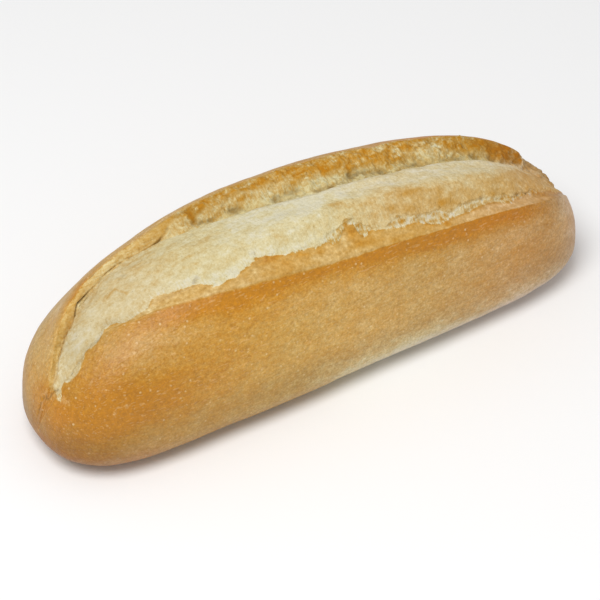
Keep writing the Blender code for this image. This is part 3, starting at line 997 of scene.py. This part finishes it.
def bake_finish():
    """Golden crust with pale flecks, tan lip and pale, stringy, torn crumb."""
    material = bpy.data.materials.new("baked crust and crumb")
    material.use_nodes = True
    tree = material.node_tree
    shader = tree.nodes["Principled BSDF"]
    paint = Paint(tree)
    mark = paint.mark
    place = paint.node("ShaderNodeTexCoord", output="Object")

    patch = place.speckle(8.0, 4.5)
    mottle = place.speckle(3.2, 2.2, 3)
    fine = place.speckle(1.3, 1.3, 3, 0.6)
    grain = place.speckle(0.75, 0.75, 3, 0.7)
    streak = place.speckle(2.6, 0.6)
    strand = place.speckle(0.5, 3.2)
    ragged = mottle * 2.6 + strand * 0.9 + fine * 1.3

    past_torn = mark("past_torn") + ragged
    past_ridge = (mark("past_ridge") + mottle * 0.8) * mark("ridge_crispness")
    past_skin = mark("past_skin") + mottle * 3.6 + strand * 1.1 + fine * 0.8
    loose = 1.6 - mark("flap") * 1.2
    wander = patch * 3.2 + mottle * 2.2 + fine + strand * 1.6
    past_browned = mark("past_browned") + wander * loose
    crumb = (mark("inside") - ragged).step(-0.3, 0.35)
    lip = past_torn.step(-0.2, 0.2) * past_ridge.step(1.0, -1.0)
    browned = past_browned.step(1.2, -1.2) * crumb
    white_band = past_skin.step(-0.3, 0.4)

    # the crust: golden, with darker and paler patches, short streaks and specks
    crust_tone = mark("crust_tone") + patch * 0.35 + mottle * 0.2
    crust_tone = crust_tone + streak * 0.4 + grain * 0.55
    lip_edge = past_torn.step(1.0, 0.2) * mottle.step(-0.10, 0.05)
    lip_tone = mark("lip_tone") + (patch + mottle + fine) * 0.4 + lip_edge * 0.15
    # the crumb: nearly white where it tore last, tan where it dried as a skin
    crumb_tone = mark("crumb_tone") + patch * 0.35 + mottle * 0.4 + fine * 0.3
    crumb_tone = crumb_tone - past_torn.step(-4.5, -0.5) * strand.step(-0.02, 0.12) * 0.12
    band_tone = strand * 1.0 + fine * 0.8 + mottle * 1.6 + WHITE_BAND_TONE
    crumb_tone = crumb_tone.toward(band_tone, white_band)
    crumb_tone = crumb_tone + (mark("crease") + fine * 2.0).step(0.7, 0.0) * 0.2
    rough = (patch + mottle * 1.1 + fine * 0.8).toward(streak * 0.5, mark("flap"))
    browned_tone = mark("browned_tone") + rough
    on_wall = mark("past_browned").step(6.5, 3.5) * (1 - mark("flap") * 0.6)
    crumb_tone = crumb_tone.toward(browned_tone, browned) + grain * 0.3
    crumb_tone = crumb_tone + (strand * 0.5 + fine * 0.5 - 0.02) * on_wall
    tone = crust_tone.toward(lip_tone, lip).toward(crumb_tone, crumb)
    baked = paint.node("ShaderNodeValToRGB", {"stops": BAKING}, {"Fac": tone})
    # the greyer crust at the right tip and by the sole: partly a duller bake, partly painted
    # shade and painted grey sheen
    baked = paint.blend(mark("dull") * (1 - crumb) * 0.7, baked, DULL_SHADED_CRUST)

    # pale dough shows in flecks, small blisters, and beside the splits at the left end
    flecks = streak.step(0.08, 0.18) * 0.24 + place.dots(2.2, 0.55, 0.6) * (fine * 3.0 + 0.4)
    flecks = flecks + (mark("blister") + fine * 2.5).step(0.4, -0.6) * 0.4
    scars = (mark("scar") + fine * 3.0).step(0.55, 0.0) * 0.25
    pale = paint.math("MAXIMUM", flecks * (1 - crumb) * (1 - lip), scars)
    baked = paint.blend(pale, baked, PALE_DOUGH)

    # painted shade: in cavities, pores, splits and the white band's crevices, the flap's
    # painted shadow in its crack, at the wall's foot, and wherever the crumb lies low
    crack = mark("crack") - abs(mark("past_browned") + fine * 1.4 - 0.1) * 2.2
    cavity = (mark("cavity") + ragged * 1.8).step(0.5, -0.9)
    split = (mark("split") + fine * 2.5).step(0.35, 0.0)
    skin_crack = abs(past_skin + 0.1).step(0.4, 0.05) * mottle.step(-0.04, 0.05)
    pores = place.dots(1.9, 0.30, 0.20) * 0.35 + white_band * strand.step(0.10, -0.10) * 0.10
    low = mark("relief").step(-0.05, -0.9) * 0.28
    foot = mark("foot") * (mottle * 4.0 + 0.5)
    shade = cavity * 0.35 + skin_crack * 0.35 + pores + low + foot * 0.5
    shade = shade * crumb + crack.step(0.0, 1.0) * (mottle * 3.0 + 0.55) + split * 0.45
    shade = paint.math("MINIMUM", paint.math("MAXIMUM", shade, 0.0), 0.8)
    baked = paint.blend(shade, baked, PAINTED_SHADE_COLOUR)
    # painted light and shade: the brightness factor for how the lamp falls, times the crust's
    # and crumb's own random unevenness
    uneven = grain * 0.5 + fine * 0.6 + mottle * 0.25
    uneven = uneven.toward(fine * 0.2 + grain * 0.25, crumb)
    glow = mark("glow") * (1.0 - uneven)
    tint = {0: glow, 1: glow * mark("yellow"), 2: glow}
    tint = paint.node("ShaderNodeCombineXYZ", None, tint)
    baked = paint.node("ShaderNodeVectorMath", {"operation": "MULTIPLY"}, {0: baked, 1: tint})
    tree.links.new(baked.socket, shader.inputs["Base Color"])

    roughness = 0.46 + crumb * 0.44 + fine * 0.12
    tree.links.new(roughness.socket, shader.inputs["Roughness"])

    crust_height = patch * 0.35 + mottle * 0.2 + fine * 0.15 + streak * 0.18 + grain * 0.07
    crumb_height = place.speckle(1.4, 1.4, 4, 0.65) * 0.55 + mottle * 0.3
    crumb_height = crumb_height + strand * (0.2 - on_wall * 0.6)
    rough_crumb = crumb * (1 - browned * mark("flap") * 0.7)
    height = crust_height.toward(crumb_height, rough_crumb)
    relief = paint.node("ShaderNodeBump", None,
                        {"Height": height, "Distance": MM, "Strength": 1.0})
    tree.links.new(relief.socket, shader.inputs["Normal"])
    return material


def new_object(name, data):
    made = bpy.data.objects.new(name, data)
    bpy.context.scene.collection.objects.link(made)
    return made


loaf = new_object("baguette_loaf", shape_loaf("baguette_loaf"))
loaf.data.materials.append(bake_finish())
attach(loaf, "root")
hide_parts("loaf")


# ==== the floor ====
# A wide, plain, pale board that the studio uses as a floor, painted matt and without a seam.
# The loaf rests on it, and it isn't part of the loaf.
FLOOR_RADIUS = 3.0
FLOOR_COLOUR = screen_colour(250, 250, 250)

bm = bmesh.new()
bmesh.ops.create_circle(bm, cap_ends=True, segments=96, radius=FLOOR_RADIUS)
floor_mesh = bpy.data.meshes.new("floor")
bm.to_mesh(floor_mesh)
bm.free()
floor = new_object("floor", floor_mesh)
floor_finish = bpy.data.materials.new("pale floor")
floor_finish.use_nodes = True
floor_shader = floor_finish.node_tree.nodes["Principled BSDF"]
floor_shader.inputs["Base Color"].default_value = FLOOR_COLOUR
floor_shader.inputs["Roughness"].default_value = 0.9
floor_mesh.materials.append(floor_finish)


# ==== the light ====
# A white studio: even light from all round, thrown back by its white walls, and one broad
# soft lamp above the front left.
world = bpy.data.worlds.new("white studio")
world.use_nodes = True
surroundings = world.node_tree.nodes["Background"]
surroundings.inputs["Color"].default_value = (1.0, 1.0, 1.0, 1.0)
surroundings.inputs["Strength"].default_value = 0.50
bpy.context.scene.world = world

LAMP_PLACE = Vector((-0.5, -0.35, 1.1))
LAMP_AIM = Vector((0, 0, 0.03))

light = bpy.data.lights.new("main lamp", "AREA")
light.shape = "DISK"
light.size = 0.7
light.energy = 10.2
lamp = new_object("main lamp", light)
lamp.location = LAMP_PLACE
lamp.rotation_euler = (LAMP_PLACE - LAMP_AIM).to_track_quat("Z", "Y").to_euler()


# ==== the camera ====
# It looks down on the loaf from the front left. It stands far off with a long lens, so that
# lines stay nearly parallel.
CAMERA_AZIMUTH = math.radians(-33.0)
CAMERA_ELEVATION = math.radians(39.8)
CAMERA_DISTANCE = 0.9377
CAMERA_AIM = Vector((-0.00331, -0.00831, 0.021))

camera = bpy.data.cameras.new("camera")
camera.sensor_width = 36
camera.lens = 166.7
back = Vector((math.sin(CAMERA_AZIMUTH) * math.cos(CAMERA_ELEVATION),
               -math.cos(CAMERA_AZIMUTH) * math.cos(CAMERA_ELEVATION),
               math.sin(CAMERA_ELEVATION)))
viewer = new_object("camera", camera)
viewer.location = CAMERA_AIM + back * CAMERA_DISTANCE
viewer.rotation_euler = back.to_track_quat("Z", "Y").to_euler()
bpy.context.scene.camera = viewer
bpy.context.scene.view_settings.view_transform = "Standard"
